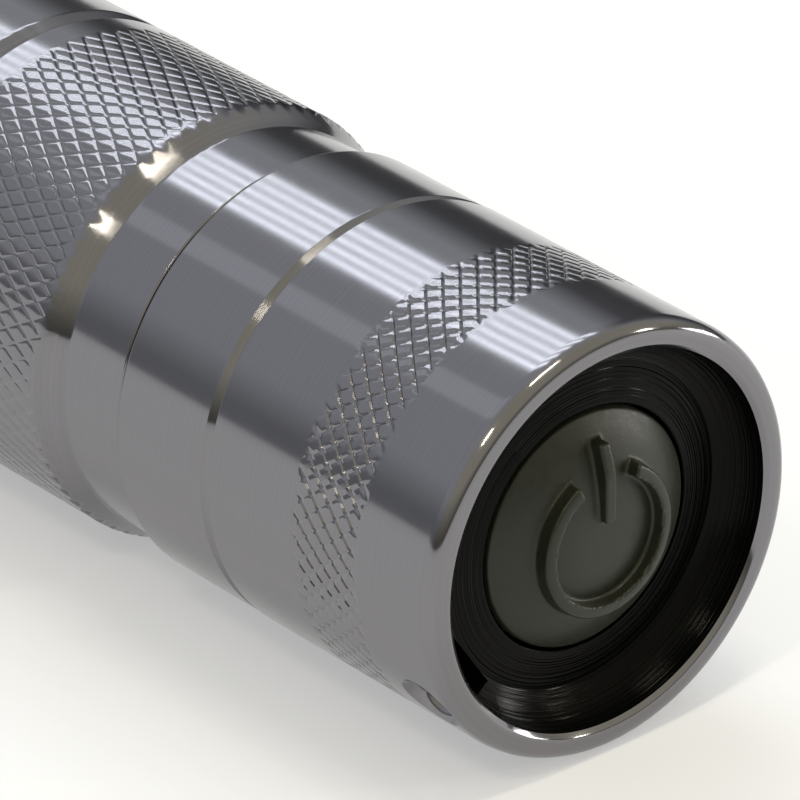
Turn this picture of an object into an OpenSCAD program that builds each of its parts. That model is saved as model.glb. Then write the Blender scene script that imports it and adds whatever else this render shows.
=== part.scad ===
// Tube flashlight for one cylindrical cell: screwed tail cap with a rubber push switch,
// knurled battery tube, and a screwed head with an LED, a reflector and a glass lens.
// Every piece is drawn along its own axis, from the tail rim (0) towards the lens, and then
// laid on its side: the beam points along +Y and the light rests on a flat of its head.

/* [Cell] */
// Radius of the wrapped cell
cell_r = 9.2; // [8.8:0.05:9.4]
// Length of the cell without its raised positive end
cell_len = 65; // [50:0.5:70]
// Radius of the raised positive end
nub_r = 3.4; // [2.5:0.1:4.5]
// Height of the raised positive end
nub_h = 1.2; // [0.8:0.1:2]
// Thickness of the insulating ring round the positive end
insulator_t = 0.3; // [0.2:0.05:0.6]

/* [Fits] */
// Radial gap between screwed or turning pieces
thread_gap = 0.1; // [0.05:0.01:0.1]
// Radial gap round pieces that are dropped in and clamped
drop_gap = 0.1; // [0.05:0.01:0.3]
// Gap between faces that are stacked against each other
stack_gap = 0.05; // [0:0.01:0.1]
// Radial gap between the cell and the tube
cell_gap = 0.3; // [0.2:0.05:0.6]
// Gap at each visible seam between the tube and its two ends
seam_gap = 0.3; // [0.1:0.05:0.5]
// Gap between an end of the tube and the face that it grounds on
ground_gap = 0.15; // [0.05:0.05:0.3]
// Gap between a contact spring and the cell
contact_gap = 0.2; // [0.1:0.05:0.4]

/* [Battery tube] */
// Wall of the tube under the crests of its two threads
thread_wall = 1.7; // [1.5:0.05:2]
// Height of the grip above the tail cap
grip_step = 0.25; // [0.1:0.05:0.6]
// Depth of the plain necks beside the seams, below the grip
neck_depth = 0.85; // [0.4:0.05:0.9]
// Length of each plain neck
neck_len = 4.9; // [3:0.1:8]
// Length of the cone between a neck and the grip
shoulder_len = 1.6; // [0.8:0.1:3]
// Length of each knurled band
knurl_len = 12.2; // [6:0.1:14]
// Length of the smooth band beside each knurled band
guard_len = 1.9; // [1:0.1:3]
// Length of each turned ring groove
ring_len = 1.3; // [0.8:0.1:2]
// Depth of each turned ring groove
ring_depth = 0.55; // [0.3:0.05:0.8]
// Length of each thread's run
thread_len = 5; // [3:0.1:5.5]
// Length of the undercut behind each thread
undercut_len = 0.7; // [0.3:0.1:1]
// Depth of the undercut behind each thread
undercut_depth = 0.5; // [0.2:0.05:0.6]
// Height of the sealing land that carries the O-ring, above the thread's crests
land_step = 0.25; // [0.1:0.05:0.35]
// Width of the O-ring's groove
o_groove_w = 1.8; // [1.5:0.1:2]
// Depth of the O-ring's groove
o_groove_depth = 1.0; // [0.8:0.05:1.1]
// Distance from a neck to its O-ring's groove
o_groove_set_back = 1; // [0.6:0.1:1.5]
// Bevel on the tube's two ends
end_bevel = 0.3; // [0.1:0.05:0.5]

/* [Tail cap] */
// Wall of the tail cap over the O-ring
cap_wall = 1.1; // [0.9:0.05:1.3]
// Length of the tail cap, rim to seam
cap_len = 26.4; // [25.8:0.1:28]
// Depth of the band nearest the seam, below the rest of the cap
cap_band_step = 0.05; // [0:0.05:0.2]
// Distance from the rim to the turned ring
cap_ring_at = 18.4; // [17.8:0.1:20]
// Length of the turned ring
cap_ring_len = 0.8; // [0.5:0.1:1.2]
// Depth of the turned ring
cap_ring_depth = 0.4; // [0.2:0.05:0.5]
// Width of the rim's outer rounding, across the axis
rim_round_w = 0.75; // [0.4:0.05:0.9]
// Height of the rim's outer rounding, along the axis
rim_round_h = 0.9; // [0.5:0.05:1.2]
// Width of the rim, from the recess's mouth to the cap's outside
rim_w = 1.6; // [1.4:0.05:1.9]
// Bevel at the recess's mouth
mouth_bevel = 0.25; // [0.1:0.05:0.4]
// Radius of the round between the recess's wall and floor
recess_round = 2.5; // [2.2:0.1:3]
// Distance from the recess's mouth in to its turned floor
floor_set_in = 1.6; // [1.2:0.1:2.1]
// Distance from the rim to the floor at the button's hole
floor_at = 2.2; // [2:0.05:2.5]
// Distance from the rim to the floor's inner side, where the boot is clamped
floor_back_at = 4.9; // [4.7:0.05:5.2]
// Radial gap between the boot and its hole
boot_gap = 0.22; // [0.15:0.01:0.4]
// Radius of the lanyard hole
lanyard_r = 1.5; // [1:0.05:1.6]
// Distance from the rim to the lanyard hole's axis
lanyard_at = 2.65; // [2.4:0.05:2.9]
// Angle of the lanyard hole below the horizontal, in degrees
lanyard_dip = 34; // [0:1:90]
// Bevel at the lanyard hole's outer mouth
lanyard_bevel = 0.5; // [0.2:0.05:0.6]
// Growth of the lanyard hole's inner mouth, as a share of its length
lanyard_flare = 0.5; // [0.2:0.05:0.6]
// Bevel on the cap's edge at the seam
seam_bevel = 0.2; // [0.1:0.05:0.4]

/* [Button] */
// Radius of the rubber boot where it leaves its hole
boot_r = 6.93; // [6.5:0.05:7.2]
// Distance from the rim to the top of the boot
boot_top_at = 0.6; // [0.4:0.05:0.8]
// Power of the curve that the boot's crown follows
crown_power = 2.6; // [2:0.1:3.5]
// Thickness of the boot's crown at its middle
crown_t = 1.7; // [1.2:0.1:2]
// Thickness of the boot's side wall
boot_wall = 1.3; // [0.9:0.1:1.6]
// Height of the raised power sign above the crown
sign_h = 0.9; // [0.3:0.05:1]
// Least distance from the rim to the power sign
sign_clear = 0.05; // [0.02:0.01:0.2]
// Middle radius of the power sign's ring
sign_r = 4.1; // [3.5:0.05:4.5]
// Width of the power sign's line
sign_w = 0.75; // [0.4:0.05:1]
// Half of the gap in the power sign's ring, in degrees
sign_gap = 28; // [20:1:40]
// Distance from the middle to the inner end of the sign's bar
sign_bar_in = 1.2; // [0.5:0.1:2]
// Distance from the middle to the outer end of the sign's bar
sign_bar_out = 5.7; // [5:0.1:6]
// Travel of the button
press = 1.6; // [0.8:0.1:1.6]
// Width of the boot's clamped skirt
skirt_w = 1.5; // [1:0.05:1.8]
// Thickness of the boot's clamped skirt
skirt_t = 1.0; // [0.6:0.05:1.2]

/* [Switch] */
// Step from the tail cap's socket in to the bore that holds the switch
module_step = 1; // [0.9:0.05:1.2]
// Thickness of the washer under the boot
washer_t = 0.45; // [0.3:0.05:0.8]
// Width of the switch's square case
case_w = 12; // [11:0.1:12.5]
// Height of the switch's case
case_h = 7; // [6.5:0.1:7.5]
// Wall of the switch's case
case_wall = 1; // [0.8:0.1:1.4]
// Radius of the plunger's stem
stem_r = 1.9; // [1.5:0.1:2.3]
// Radius of the plunger's foot
foot_r = 3.6; // [3:0.1:4]
// Thickness of the plunger's foot
foot_t = 0.8; // [0.5:0.1:1]
// Radius of the return spring's wire
return_wire_r = 0.2; // [0.15:0.01:0.25]
// Turns of the return spring
return_turns = 3.5; // [2.5:0.5:4]
// Thickness of the switch's circuit board
board_t = 1.2; // [0.8:0.1:1.6]
// Width of each brass terminal
terminal_w = 2.4; // [1.5:0.1:3]
// Thickness of each brass terminal
terminal_t = 0.4; // [0.3:0.05:0.6]
// Distance of each terminal from the middle
terminal_at = 3.2; // [2.5:0.1:3.8]
// Height of each terminal above the board
terminal_h = 0.5; // [0.3:0.1:0.8]
// Width of the brass retaining ring
retainer_w = 2.8; // [2.2:0.1:3.2]
// Thickness of the brass retaining ring
retainer_t = 2.4; // [1.8:0.1:2.6]
// Radius of each spanner hole in the retaining ring
spanner_r = 0.7; // [0.5:0.05:0.9]

/* [Contact springs] */
// Length of the tail spring, board to cell
tail_spring_len = 9.2; // [8.5:0.1:10]
// Radius of the tail spring's coil at the board
tail_spring_r = 5.6; // [5:0.1:6]
// Radius of the tail spring's coil at the cell
tail_spring_tip_r = 3.6; // [3:0.1:4.5]
// Turns of the tail spring
tail_spring_turns = 5.5; // [4:0.5:6]
// Radius of the tail spring's wire
tail_wire_r = 0.4; // [0.3:0.05:0.45]
// Length of the head spring, driver to cell
head_spring_len = 2.7; // [2.4:0.1:3.5]
// Radius of the head spring's coil
head_spring_r = 2.6; // [2:0.1:3]
// Turns of the head spring
head_spring_turns = 2; // [1.5:0.5:2]
// Radius of the head spring's wire
head_wire_r = 0.25; // [0.2:0.01:0.28]

/* [Head] */
// Wall of the head round the pill and reflector
head_wall = 1.75; // [1.5:0.05:2]
// Depth of the socket that takes the tube
socket_len = 9.1; // [8.6:0.1:9.6]
// Thickness of the shelf between the socket and the pill
shelf_t = 1.3; // [0.8:0.1:2]
// Width of the shelf, in from the pill's bore
shelf_w = 1.4; // [1.2:0.05:1.6]
// Distance from the seam to the first cooling groove
fins_at = 6.4; // [5:0.1:9]
// Number of cooling grooves
fin_count = 5; // [1:1:6]
// Width of each cooling groove
fin_groove_w = 1.3; // [0.8:0.1:1.4]
// Width of each fin
fin_w = 1.3; // [0.8:0.1:1.4]
// Depth of each cooling groove
fin_depth = 0.8; // [0.4:0.05:0.9]
// Distance from the seam to the six-sided collar
collar_at = 23.2; // [22.6:0.1:24]
// Length of the six-sided collar
collar_len = 8; // [4:0.1:9]
// Height of the collar's rounded corners above the head
collar_h = 1.35; // [0.6:0.05:1.6]
// Length of the slope at each end of the collar
collar_slope = 1.2; // [0.6:0.1:1.6]
// Bevel on the head's two ends
head_bevel = 0.25; // [0.1:0.05:0.4]

/* [Light engine] */
// Length of the brass pill
pill_len = 8.9; // [8:0.1:10]
// Thickness of the pill's end plate under the LED board
pill_plate_t = 3; // [2:0.1:4]
// Wall of the pill's cup
pill_wall = 1.3; // [1.1:0.05:1.5]
// Thickness of the driver board
driver_t = 1.6; // [1:0.1:2]
// Depth of the driver board inside the pill
driver_inset = 0.7; // [0.4:0.1:1]
// Width of the driver's coil
coil_w = 6; // [4:0.1:6.5]
// Height of the driver's coil
coil_h = 2.6; // [2:0.1:2.8]
// Width of each driver chip
chip_w = 3; // [2:0.1:3.5]
// Height of each driver chip
chip_h = 1.1; // [0.8:0.1:1.5]
// Radius of each wire
wire_r = 0.5; // [0.3:0.05:0.6]
// Distance of each wire from the axis
wire_at = 6.6; // [6.2:0.1:7]
// Radius of the LED board
star_r = 10; // [9:0.1:10.5]
// Thickness of the LED board
star_t = 1.6; // [1.2:0.1:2]
// Width of the LED's square package
led_w = 3.5; // [3:0.1:3.6]
// Height of the LED's square package
led_h = 0.7; // [0.5:0.05:0.9]
// Radius of the LED's clear dome
dome_r = 1.5; // [1.2:0.05:1.6]
// Width of the centring ring's base outside the reflector's eye
centring_w = 1; // [0.8:0.1:1.4]
// Thickness of the centring ring's base
centring_t = 0.7; // [0.5:0.05:0.7]

/* [Optics] */
// Length of the reflector
reflector_len = 13.5; // [11:0.1:15]
// Wall of the reflector at its mouth
mouth_wall = 0.5; // [0.4:0.05:0.9]
// Inner radius of the reflector at the LED
reflector_eye_r = 3.2; // [3:0.1:3.4]
// Wall of the reflector
reflector_wall = 1; // [0.7:0.05:1.1]
// Height of the reflector's front flange
flange_h = 1.5; // [1:0.1:2]
// Step from the bezel's thread in to the edge of the glass lens
lens_step = 0.4; // [0.3:0.05:0.6]
// Thickness of the glass lens
lens_t = 2; // [1.5:0.1:3]
// Wall of the head round the bezel's thread
bezel_socket_wall = 1.05; // [0.9:0.05:1.2]
// Length of the bezel's threaded skirt
bezel_skirt_len = 2.1; // [1.5:0.1:3]
// Distance that the bezel reaches in over the lens
bezel_lap = 1.2; // [1:0.05:1.8]
// Step from the head's outside in to the bezel's flange
bezel_set_in = 0.35; // [0.05:0.05:0.6]
// Height of the bezel's flange
bezel_h = 2.1; // [1.5:0.1:3]
// Thickness of the lens's O-ring
lens_ring_t = 0.8; // [0.5:0.05:1]

/* [Hidden] */
$fn = 96;
COIL_RINGS = 8;
COIL_SIDES = 6;
CURVE_STEPS = 14;
ROUND_STEPS = 6;
RING_SIDES = 12;
OVER = 1;

// Stations along the axis, from the tail rim
skirt_at = floor_back_at + stack_gap;
washer_at = skirt_at + skirt_t + stack_gap;
case_at = washer_at + washer_t + stack_gap;
board_at = case_at + case_h + stack_gap;
board_face = board_at + board_t;
retainer_at = board_face + stack_gap;
retainer_end = retainer_at + retainer_t;
tube_start = retainer_end + ground_gap;
cell_start = board_face + tail_spring_len + contact_gap;
cell_end = cell_start + cell_len;
nub_end = cell_end + nub_h;
driver_at = nub_end + contact_gap + head_spring_len;
pill_at = driver_at - driver_inset;
shelf_end = pill_at - stack_gap;
shelf_at = shelf_end - shelf_t;
tube_end = shelf_at - ground_gap;
head_at = shelf_at - socket_len;
neck_at = cap_len + seam_gap;
knurl_at = neck_at + neck_len + shoulder_len;
tail_ring_at = knurl_at + knurl_len + guard_len;
front_neck_end = head_at - seam_gap;
front_knurl_end = front_neck_end - neck_len - shoulder_len;
front_ring_end = front_knurl_end - knurl_len - guard_len;
pill_end = pill_at + pill_len;
star_end = pill_end + stack_gap + star_t;
led_end = star_end + led_h;
reflector_at = star_end + centring_t + stack_gap;
reflector_end = reflector_at + reflector_len;
lens_at = reflector_end + stack_gap;
lens_end = lens_at + lens_t;
lens_ring_at = lens_end + stack_gap;
bezel_at = lens_ring_at + lens_ring_t + stack_gap;
head_end = bezel_at + bezel_skirt_len;
total_len = head_end + stack_gap + bezel_h;

// Radii, from the cell outwards
tube_bore_r = cell_r + cell_gap;
thread_r = tube_bore_r + thread_wall;
socket_thread_r = thread_r + thread_gap;
land_r = thread_r + land_step;
seal_bore_r = land_r + thread_gap + stack_gap;
cap_r = seal_bore_r + cap_wall;
cap_band_r = cap_r - cap_band_step;
grip_r = cap_r + grip_step;
neck_r = grip_r - neck_depth;
head_r = grip_r;
collar_r = head_r + collar_h;

// Radii inside the tail cap
mouth_r = cap_r - rim_w;
floor_r = mouth_r - floor_set_in;
module_r = socket_thread_r - module_step;
seal_depth = o_groove_set_back + o_groove_w + seam_gap + OVER;
boot_hole_r = boot_r + boot_gap;
skirt_in_r = boot_hole_r + drop_gap;
skirt_r = skirt_in_r + skirt_w;
recess_wall_r = mouth_r - recess_round;
floor_edge_angle = acos((floor_r - recess_wall_r) / recess_round);
lanyard_end_r = floor_r - stack_gap;
lanyard_wall_r = recess_wall_r + sqrt(pow(recess_round, 2) - pow(lanyard_at - lanyard_r - mouth_bevel, 2));
crown_drop = floor_at - boot_top_at;
crown_ceiling = boot_top_at + crown_t;
boot_end = case_at - press - boot_gap;
plunger_foot_at = case_at + case_wall + stack_gap;
return_at = plunger_foot_at + foot_t + return_wire_r;
return_end = case_at + case_h - case_wall - return_wire_r;
return_r = stem_r + 2 * return_wire_r + drop_gap;
retainer_r = module_r - thread_gap;
retainer_in_r = retainer_r - retainer_w;
spanner_at = (retainer_in_r + retainer_r) / 2;

// Radii inside the head
pill_bore_r = head_r - head_wall;
pill_cup_r = pill_bore_r - thread_gap - pill_wall;
shelf_r = pill_bore_r - shelf_w;
centring_r = reflector_eye_r + centring_w;
bezel_bore_r = head_r - bezel_socket_wall;
bezel_skirt_r = bezel_bore_r - thread_gap;
bezel_r = head_r - bezel_set_in;
lens_r = bezel_skirt_r - lens_step;
lens_bore_r = lens_r + drop_gap;
bezel_open_r = lens_r - bezel_lap;
reflector_r = pill_bore_r - drop_gap;
reflector_mouth_r = reflector_r - mouth_wall;
reflector_4f = (reflector_mouth_r * reflector_mouth_r - reflector_eye_r * reflector_eye_r) / reflector_len;

// Points on an arc, quarter round or ellipse in the profile plane
function arc(cx, cy, rx, ry, from, to, steps) =
  [for (i = [0 : steps])
    let (a = from + (to - from) * i / steps)
    [cx + rx * cos(a), cy + ry * sin(a)]];

// Station of the boot's crown at a radius, measured from the rim
function crown_z(r) = boot_top_at + crown_drop * pow(r / boot_r, crown_power);

// Station of the power sign's top at a radius, which never passes the rim
function sign_z(r) = max(crown_z(r) - sign_h, sign_clear);

// Points of a profile from the axis out to a radius along one of the two crown curves
function crown_points() = [for (i = [0 : CURVE_STEPS]) let (r = boot_r * i / CURVE_STEPS) [r, crown_z(r)]];
function sign_points() = [for (i = [0 : CURVE_STEPS]) let (r = boot_r * i / CURVE_STEPS) [r, sign_z(r)]];

// Inner radius of the reflector at a height above its eye
function reflector_inner(h) = sqrt(reflector_eye_r * reflector_eye_r + reflector_4f * h);

// Centre line of a coil whose radius changes evenly from one end to the other
function coil_path(r0, r1, z0, z1, turns) =
  let (n = round(turns * COIL_RINGS))
  [for (i = [0 : n])
    let (t = i / n, a = 360 * turns * t, r = r0 + (r1 - r0) * t)
    [r * cos(a), r * sin(a), z0 + (z1 - z0) * t]];

// One ring of points round a coil's centre line, square to the run of the wire
function coil_ring(path, i, wire) =
  let (
    last = len(path) - 1,
    run = path[min(i + 1, last)] - path[max(i - 1, 0)],
    t = run / norm(run),
    p = path[i],
    flat = [p[0], p[1], 0] / norm([p[0], p[1]]),
    side = flat - t * (flat * t),
    u = side / norm(side),
    w = cross(t, u)
  )
  [for (k = [0 : COIL_SIDES - 1])
    let (a = 360 * k / COIL_SIDES)
    p + wire * (cos(a) * u + sin(a) * w)];

// Least clear gap between one turn of a coil and the turns beside it
function coil_gap(path, wire) =
  min([for (i = [0 : len(path) - 1], j = [0 : len(path) - 1])
    if (j - i > COIL_RINGS / 2) norm(path[i] - path[j]) - 2 * wire]);

// A coil as one unbroken tube with closed ends
module coil(r0, r1, z0, z1, turns, wire) {
  path = coil_path(r0, r1, z0, z1, turns);
  echo(least_gap_of_a_coil_mm = coil_gap(path, wire));
  rings = len(path);
  points = [for (i = [0 : rings - 1], p = coil_ring(path, i, wire)) p];
  sides = [for (i = [0 : rings - 2], k = [0 : COIL_SIDES - 1])
    let (a = i * COIL_SIDES + k, b = i * COIL_SIDES + (k + 1) % COIL_SIDES)
    each [[a, b, b + COIL_SIDES], [a, b + COIL_SIDES, a + COIL_SIDES]]];
  first = [for (k = [1 : COIL_SIDES - 2]) [0, k + 1, k]];
  base = (rings - 1) * COIL_SIDES;
  final = [for (k = [1 : COIL_SIDES - 2]) [base, base + k, base + k + 1]];
  polyhedron(points = points, faces = concat(sides, first, final));
}

// Lays a piece that stands on the tail rim onto its side, beam along +Y
module lay() {
  translate([0, -total_len / 2, grip_r]) rotate([-90, 0, 0]) children();
}

// A plain tube between two stations
module tube(outer, inner, from, to) {
  translate([0, 0, from])
    difference() {
      cylinder(h = to - from, r = outer);
      translate([0, 0, -OVER]) cylinder(h = to - from + 2 * OVER, r = inner);
    }
}

// A solid round bar between two stations
module bar(r, from, to) {
  translate([0, 0, from]) cylinder(h = to - from, r = r);
}

// Tail cap

module cap_outside() {
  ring_r = cap_r - cap_ring_depth;
  rotate_extrude()
    polygon(concat(
      [[0, 0]],
      arc(cap_r - rim_round_w, rim_round_h, rim_round_w, rim_round_h, -90, 0, ROUND_STEPS),
      [
        [cap_r, cap_ring_at],
        [ring_r, cap_ring_at],
        [cap_band_r, cap_ring_at + cap_ring_len],
        [cap_band_r, cap_len - seam_bevel],
        [cap_band_r - seam_bevel, cap_len],
        [0, cap_len]
      ]
    ));
}

module cap_recess() {
  rotate_extrude()
    polygon(concat(
      [[0, -OVER], [mouth_r + mouth_bevel, -OVER], [mouth_r + mouth_bevel, 0]],
      arc(recess_wall_r, mouth_bevel, recess_round, recess_round, 0, floor_edge_angle, ROUND_STEPS),
      [[boot_hole_r, floor_at], [0, floor_at]]
    ));
}

module lanyard_cut() {
  inner_len = lanyard_wall_r - lanyard_end_r;
  rotate([0, 0, 180 - lanyard_dip]) translate([0, 0, lanyard_at]) rotate([0, 90, 0]) {
    bar(lanyard_r, lanyard_end_r, cap_r + OVER);
    translate([0, 0, cap_r - lanyard_bevel])
      cylinder(h = 2 * lanyard_bevel, r1 = lanyard_r, r2 = lanyard_r + 2 * lanyard_bevel);
    translate([0, 0, lanyard_end_r])
      cylinder(h = inner_len, r1 = lanyard_r + lanyard_flare * inner_len, r2 = lanyard_r);
  }
}

module tail_cap() {
  color("silver") lay() difference() {
    cap_outside();
    cap_recess();
    lanyard_cut();
    bar(boot_hole_r, 0, floor_back_at + OVER);
    bar(skirt_r + drop_gap, floor_back_at, washer_at);
    bar(module_r, washer_at - stack_gap, tube_start);
    bar(socket_thread_r, tube_start - ground_gap, cap_len);
    bar(seal_bore_r, cap_len - seal_depth, cap_len + OVER);
  }
}

// Rubber boot, in its moving crown and its clamped skirt

module sign_line(r0, r1) {
  difference() {
    tube(r1, r0, 0, floor_at);
    translate([0, 0, -OVER])
      linear_extrude(floor_at + 2 * OVER)
        polygon([[0, 0], for (side = [-1, 1]) boot_r * [side * tan(sign_gap), -1]]);
  }
}

module sign_bar() {
  translate([-sign_w / 2, -sign_bar_out, 0]) cube([sign_w, sign_bar_out - sign_bar_in, floor_at]);
}

module boot_crown() {
  color("dimgray") lay() difference() {
    union() {
      rotate_extrude() polygon(concat(crown_points(), [[boot_r, boot_end], [0, boot_end]]));
      intersection() {
        rotate_extrude() polygon(concat(sign_points(), [[boot_r, floor_at], [0, floor_at]]));
        union() {
          sign_line(sign_r - sign_w / 2, sign_r + sign_w / 2);
          sign_bar();
        }
      }
    }
    bar(boot_r - boot_wall, crown_ceiling, boot_end + OVER);
  }
}

module boot_skirt() {
  color("dimgray") lay() tube(skirt_r, skirt_in_r, skirt_at, skirt_at + skirt_t);
}

module boot_washer() {
  color("gainsboro") lay() tube(module_r - drop_gap, skirt_in_r, washer_at, washer_at + washer_t);
}

// Switch

module square_block(w, from, to) {
  translate([-w / 2, -w / 2, from]) cube([w, w, to - from]);
}

module switch_case() {
  color("black") lay() difference() {
    square_block(case_w, case_at, case_at + case_h);
    square_block(case_w - 2 * case_wall, case_at + case_wall, case_at + case_h - case_wall);
    bar(stem_r + thread_gap, case_at - OVER, case_at + case_wall + OVER);
  }
}

module switch_plunger() {
  color("white") lay() {
    bar(stem_r, crown_ceiling + stack_gap, plunger_foot_at + foot_t);
    bar(foot_r, plunger_foot_at, plunger_foot_at + foot_t);
  }
}

module switch_return_spring() {
  color("silver") lay() coil(return_r, return_r, return_at, return_end, return_turns, return_wire_r);
}

module terminal_pair(extra, from, to) {
  w = terminal_w + 2 * extra;
  t = terminal_t + 2 * extra;
  for (side = [-1, 1])
    translate([side * terminal_at - t / 2, -w / 2, from]) cube([t, w, to - from]);
}

module switch_terminals() {
  color("goldenrod") lay() terminal_pair(0, case_at + case_h + stack_gap / 2, board_face + terminal_h);
}

module switch_board() {
  color("darkgreen") lay() difference() {
    bar(module_r - drop_gap, board_at, board_face);
    terminal_pair(drop_gap, board_at - OVER, board_face + OVER);
  }
}

module switch_retaining_ring() {
  color("goldenrod") lay() difference() {
    tube(retainer_r, retainer_in_r, retainer_at, retainer_end);
    for (side = [-1, 1])
      translate([0, side * spanner_at, 0]) bar(spanner_r, retainer_at - OVER, retainer_end + OVER);
  }
}

module tail_spring() {
  color("silver") lay()
    coil(tail_spring_r, tail_spring_tip_r, board_face + tail_wire_r + stack_gap,
      cell_start - contact_gap - tail_wire_r, tail_spring_turns, tail_wire_r);
}

// Battery tube

// Outline of one threaded end, from the tube's end face to its neck
function thread_end_points() = [
  [0, 0],
  [thread_r - end_bevel, 0],
  [thread_r, end_bevel],
  [thread_r, thread_len],
  [thread_r - undercut_depth, thread_len],
  [thread_r - undercut_depth, thread_len + undercut_len],
  [land_r, thread_len + undercut_len]
];

// Points of an outline turned end for end about a station
function flip(points, at) = [for (i = [len(points) - 1 : -1 : 0]) [points[i][0], at - points[i][1]]];
function shift(points, by) = [for (p = points) [p[0], p[1] + by]];

module tube_outside() {
  groove_r = grip_r - ring_depth;
  rotate_extrude()
    polygon(concat(
      shift(thread_end_points(), tube_start),
      [
        [land_r, neck_at],
        [neck_r, neck_at],
        [neck_r, neck_at + neck_len],
        [grip_r, knurl_at],
        [grip_r, tail_ring_at],
        [groove_r, tail_ring_at],
        [grip_r, tail_ring_at + ring_len],
        [grip_r, front_ring_end - ring_len],
        [groove_r, front_ring_end],
        [grip_r, front_ring_end],
        [grip_r, front_knurl_end],
        [neck_r, front_neck_end - neck_len],
        [neck_r, front_neck_end],
        [land_r, front_neck_end]
      ],
      flip(thread_end_points(), tube_end)
    ));
}

module o_groove(from) {
  tube(land_r + OVER, land_r - o_groove_depth, from, from + o_groove_w);
}

module battery_tube() {
  color("silver") lay() difference() {
    tube_outside();
    o_groove(neck_at - o_groove_set_back - o_groove_w);
    o_groove(front_neck_end + o_groove_set_back);
    bar(tube_bore_r, tube_start - OVER, tube_end + OVER);
  }
}

// A rubber ring squeezed to fill its groove
module squeezed_ring(inner, outer, from, to) {
  half_w = (outer - inner) / 2;
  half_h = (to - from) / 2 - stack_gap;
  step = 360 / RING_SIDES;
  rotate_extrude()
    polygon(arc(inner + half_w, from + half_h + stack_gap, half_w, half_h, 0, 360 - step, RING_SIDES - 1));
}

module tail_o_ring() {
  from = neck_at - o_groove_set_back - o_groove_w;
  color("black") lay()
    squeezed_ring(land_r - o_groove_depth + stack_gap, seal_bore_r - stack_gap, from, from + o_groove_w);
}

module head_o_ring() {
  from = front_neck_end + o_groove_set_back;
  color("black") lay()
    squeezed_ring(land_r - o_groove_depth + stack_gap, seal_bore_r - stack_gap, from, from + o_groove_w);
}

// Cell

module battery_cell() {
  color("royalblue") lay() bar(cell_r, cell_start, cell_end - insulator_t);
}

module battery_insulator_ring() {
  color("white") lay() tube(cell_r, nub_r + drop_gap, cell_end - insulator_t, cell_end);
}

module battery_positive_end() {
  color("silver") lay() bar(nub_r, cell_end - insulator_t, nub_end);
}

// Head

module head_outside() {
  collar_from = head_at + collar_at;
  collar_to = collar_from + collar_len;
  rotate_extrude()
    polygon([
      [0, head_at],
      [head_r - head_bevel, head_at],
      [head_r, head_at + head_bevel],
      [head_r, head_end - head_bevel],
      [head_r - head_bevel, head_end],
      [0, head_end]
    ]);
  intersection() {
    translate([0, 0, collar_from]) cylinder(h = collar_len, r = grip_r / cos(30), $fn = 6);
    rotate_extrude()
      polygon([
        [0, collar_from],
        [head_r - head_bevel, collar_from],
        [collar_r, collar_from + collar_slope],
        [collar_r, collar_to - collar_slope],
        [head_r - head_bevel, collar_to],
        [0, collar_to]
      ]);
  }
}

module head_shell() {
  color("silver") lay() difference() {
    head_outside();
    for (i = [0 : fin_count - 1]) {
      from = head_at + fins_at + i * (fin_groove_w + fin_w);
      tube(head_r + OVER, head_r - fin_depth, from, from + fin_groove_w);
    }
    bar(seal_bore_r, head_at - OVER, head_at + seal_depth);
    bar(socket_thread_r, head_at, shelf_at);
    bar(shelf_r, shelf_at - OVER, shelf_end + OVER);
    bar(pill_bore_r, shelf_end, lens_at);
    bar(lens_bore_r, lens_at - stack_gap, bezel_at);
    bar(bezel_bore_r, bezel_at - stack_gap, head_end + OVER);
  }
}

module head_spring() {
  color("silver") lay()
    coil(head_spring_r, head_spring_r, nub_end + contact_gap + head_wire_r,
      driver_at - head_wire_r - stack_gap, head_spring_turns, head_wire_r);
}

module brass_pill() {
  color("goldenrod") lay() difference() {
    bar(pill_bore_r - thread_gap, pill_at, pill_end);
    bar(pill_cup_r, pill_at - OVER, pill_end - pill_plate_t);
    for (side = [-1, 1])
      translate([side * wire_at, 0, 0]) bar(wire_r + drop_gap, pill_at, pill_end + OVER);
  }
}

module driver_board() {
  color("darkgreen") lay() bar(pill_cup_r - drop_gap, driver_at, driver_at + driver_t);
}

module driver_coil() {
  base = driver_at + driver_t;
  color("dimgray") lay() translate([0, coil_w / 2 + chip_h, 0]) square_block(coil_w, base, base + coil_h);
}

module driver_chips() {
  base = driver_at + driver_t;
  color("black") lay()
    for (side = [-1, 1])
      translate([side * chip_w, -chip_w, 0]) square_block(chip_w, base, base + chip_h);
}

module led_wires() {
  color("red") lay()
    for (side = [-1, 1])
      translate([side * wire_at, 0, 0]) bar(wire_r, driver_at + driver_t, star_end + wire_r);
}

module led_board() {
  color("white") lay() difference() {
    bar(star_r, pill_end + stack_gap, star_end);
    for (side = [-1, 1])
      translate([side * wire_at, 0, 0]) bar(wire_r + drop_gap, pill_end, star_end + OVER);
  }
}

module led_package() {
  color("khaki") lay() square_block(led_w, star_end, led_end);
}

module led_dome() {
  color("lightyellow") lay() intersection() {
    translate([0, 0, led_end]) sphere(r = dome_r, $fn = 48);
    bar(dome_r + OVER, led_end, led_end + dome_r + OVER);
  }
}

module led_centring_ring() {
  lip_r = reflector_eye_r - drop_gap;
  color("white") lay() difference() {
    union() {
      bar(centring_r, star_end, star_end + centring_t);
      bar(lip_r, star_end, reflector_at + centring_t);
    }
    square_block(led_w + 2 * drop_gap, star_end - OVER, reflector_at + centring_t + OVER);
  }
}

module reflector() {
  steps = CURVE_STEPS;
  inner = [for (i = [0 : steps]) let (h = reflector_len * i / steps) [reflector_inner(h), reflector_at + h]];
  neck = reflector_len - flange_h;
  outer = [for (i = [steps : -1 : 0])
    let (h = neck * i / steps)
    [min(reflector_inner(h) + reflector_wall, reflector_r), reflector_at + h]];
  color("silver") lay() rotate_extrude()
    polygon(concat(inner, [[reflector_r, reflector_end], [reflector_r, reflector_end - flange_h]], outer));
}

// Front

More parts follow.
